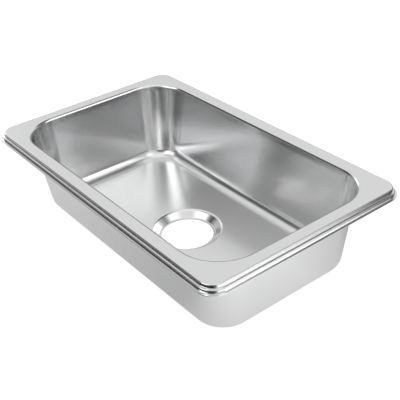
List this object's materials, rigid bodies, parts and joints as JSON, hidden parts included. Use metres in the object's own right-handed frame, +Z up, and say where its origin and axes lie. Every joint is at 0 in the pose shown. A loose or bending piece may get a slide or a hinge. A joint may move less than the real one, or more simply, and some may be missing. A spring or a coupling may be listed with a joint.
{
  "type": "rectangular sink",
  "caption": "Drop-in rectangular sink: a deep pressed steel bowl with rounded corners, a stepped flat rim, an open drain and swivel clamps under the rim.",
  "frame": {"origin": "middle of the underside of the drain seat, the lowest part, on which the sink stands when it is set down", "axes": "+X along the sink's length, +Y across it, +Z up out of the bowl"},
  "size_m": [0.53, 0.325, 0.1353],
  "materials": {
    "satin_steel": "satin pressed stainless steel",
    "zinc_steel": "bright zinc-plated steel",
    "foam": "closed-cell foam seal",
    "pad_rubber": "matt sound-deadening pad"
  },
  "bodies": {
    "sink": {"basin": "satin_steel", "rim_seal": "foam", "sound_pad_left": "pad_rubber", "sound_pad_right": "pad_rubber", "clamp_studs": "zinc_steel"},
    "washer_1": {"washer_1": "zinc_steel"},
    "claw_1": {"claw_1": "zinc_steel"},
    "nut_1": {"nut_1": "zinc_steel"},
    "washer_2": {"washer_2": "zinc_steel"},
    "claw_2": {"claw_2": "zinc_steel"},
    "nut_2": {"nut_2": "zinc_steel"},
    "washer_3": {"washer_3": "zinc_steel"},
    "claw_3": {"claw_3": "zinc_steel"},
    "nut_3": {"nut_3": "zinc_steel"},
    "washer_4": {"washer_4": "zinc_steel"},
    "claw_4": {"claw_4": "zinc_steel"},
    "nut_4": {"nut_4": "zinc_steel"},
    "washer_5": {"washer_5": "zinc_steel"},
    "claw_5": {"claw_5": "zinc_steel"},
    "nut_5": {"nut_5": "zinc_steel"},
    "washer_6": {"washer_6": "zinc_steel"},
    "claw_6": {"claw_6": "zinc_steel"},
    "nut_6": {"nut_6": "zinc_steel"}
  },
  "joints": [
    {"name": "clamp_lift_1", "type": "slide", "parent": "sink", "child": "washer_1", "axis": [0, 0, 1], "range_m": [0, 0.005]},
    {"name": "nut_turn_1", "type": "hinge", "parent": "washer_1", "child": "nut_1", "pos_m": [-0.15, -0.1442, 0.1093], "axis": [0, 0, 1], "range_deg": [0, 2250]},
    {"name": "claw_swing_1", "type": "hinge", "parent": "washer_1", "child": "claw_1", "pos_m": [-0.15, -0.1442, 0.1143], "axis": [0, 0, 1], "range_deg": [0, 180]},
    {"name": "clamp_lift_2", "type": "slide", "parent": "sink", "child": "washer_2", "axis": [0, 0, 1], "range_m": [0, 0.005]},
    {"name": "nut_turn_2", "type": "hinge", "parent": "washer_2", "child": "nut_2", "pos_m": [0.15, -0.1442, 0.1093], "axis": [0, 0, 1], "range_deg": [0, 2250]},
    {"name": "claw_swing_2", "type": "hinge", "parent": "washer_2", "child": "claw_2", "pos_m": [0.15, -0.1442, 0.1143], "axis": [0, 0, 1], "range_deg": [0, 180]},
    {"name": "clamp_lift_3", "type": "slide", "parent": "sink", "child": "washer_3", "axis": [0, 0, 1], "range_m": [0, 0.005]},
    {"name": "nut_turn_3", "type": "hinge", "parent": "washer_3", "child": "nut_3", "pos_m": [0.2467, 0, 0.1093], "axis": [0, 0, 1], "range_deg": [0, 2250]},
    {"name": "claw_swing_3", "type": "hinge", "parent": "washer_3", "child": "claw_3", "pos_m": [0.2467, 0, 0.1143], "axis": [0, 0, 1], "range_deg": [0, 180]},
    {"name": "clamp_lift_4", "type": "slide", "parent": "sink", "child": "washer_4", "axis": [0, 0, 1], "range_m": [0, 0.005]},
    {"name": "nut_turn_4", "type": "hinge", "parent": "washer_4", "child": "nut_4", "pos_m": [0.15, 0.1442, 0.1093], "axis": [0, 0, 1], "range_deg": [0, 2250]},
    {"name": "claw_swing_4", "type": "hinge", "parent": "washer_4", "child": "claw_4", "pos_m": [0.15, 0.1442, 0.1143], "axis": [0, 0, 1], "range_deg": [0, 180]},
    {"name": "clamp_lift_5", "type": "slide", "parent": "sink", "child": "washer_5", "axis": [0, 0, 1], "range_m": [0, 0.005]},
    {"name": "nut_turn_5", "type": "hinge", "parent": "washer_5", "child": "nut_5", "pos_m": [-0.15, 0.1442, 0.1093], "axis": [0, 0, 1], "range_deg": [0, 2250]},
    {"name": "claw_swing_5", "type": "hinge", "parent": "washer_5", "child": "claw_5", "pos_m": [-0.15, 0.1442, 0.1143], "axis": [0, 0, 1], "range_deg": [0, 180]},
    {"name": "clamp_lift_6", "type": "slide", "parent": "sink", "child": "washer_6", "axis": [0, 0, 1], "range_m": [0, 0.005]},
    {"name": "nut_turn_6", "type": "hinge", "parent": "washer_6", "child": "nut_6", "pos_m": [-0.2467, 0, 0.1093], "axis": [0, 0, 1], "range_deg": [0, 2250]},
    {"name": "claw_swing_6", "type": "hinge", "parent": "washer_6", "child": "claw_6", "pos_m": [-0.2467, 0, 0.1143], "axis": [0, 0, 1], "range_deg": [0, 180]}
  ],
  "couplings": [
    {"joint": "nut_turn_1", "follows": "clamp_lift_1", "rad_per_m": 7854},
    {"joint": "nut_turn_2", "follows": "clamp_lift_2", "rad_per_m": 7854},
    {"joint": "nut_turn_3", "follows": "clamp_lift_3", "rad_per_m": 7854},
    {"joint": "nut_turn_4", "follows": "clamp_lift_4", "rad_per_m": 7854},
    {"joint": "nut_turn_5", "follows": "clamp_lift_5", "rad_per_m": 7854},
    {"joint": "nut_turn_6", "follows": "clamp_lift_6", "rad_per_m": 7854}
  ]
}
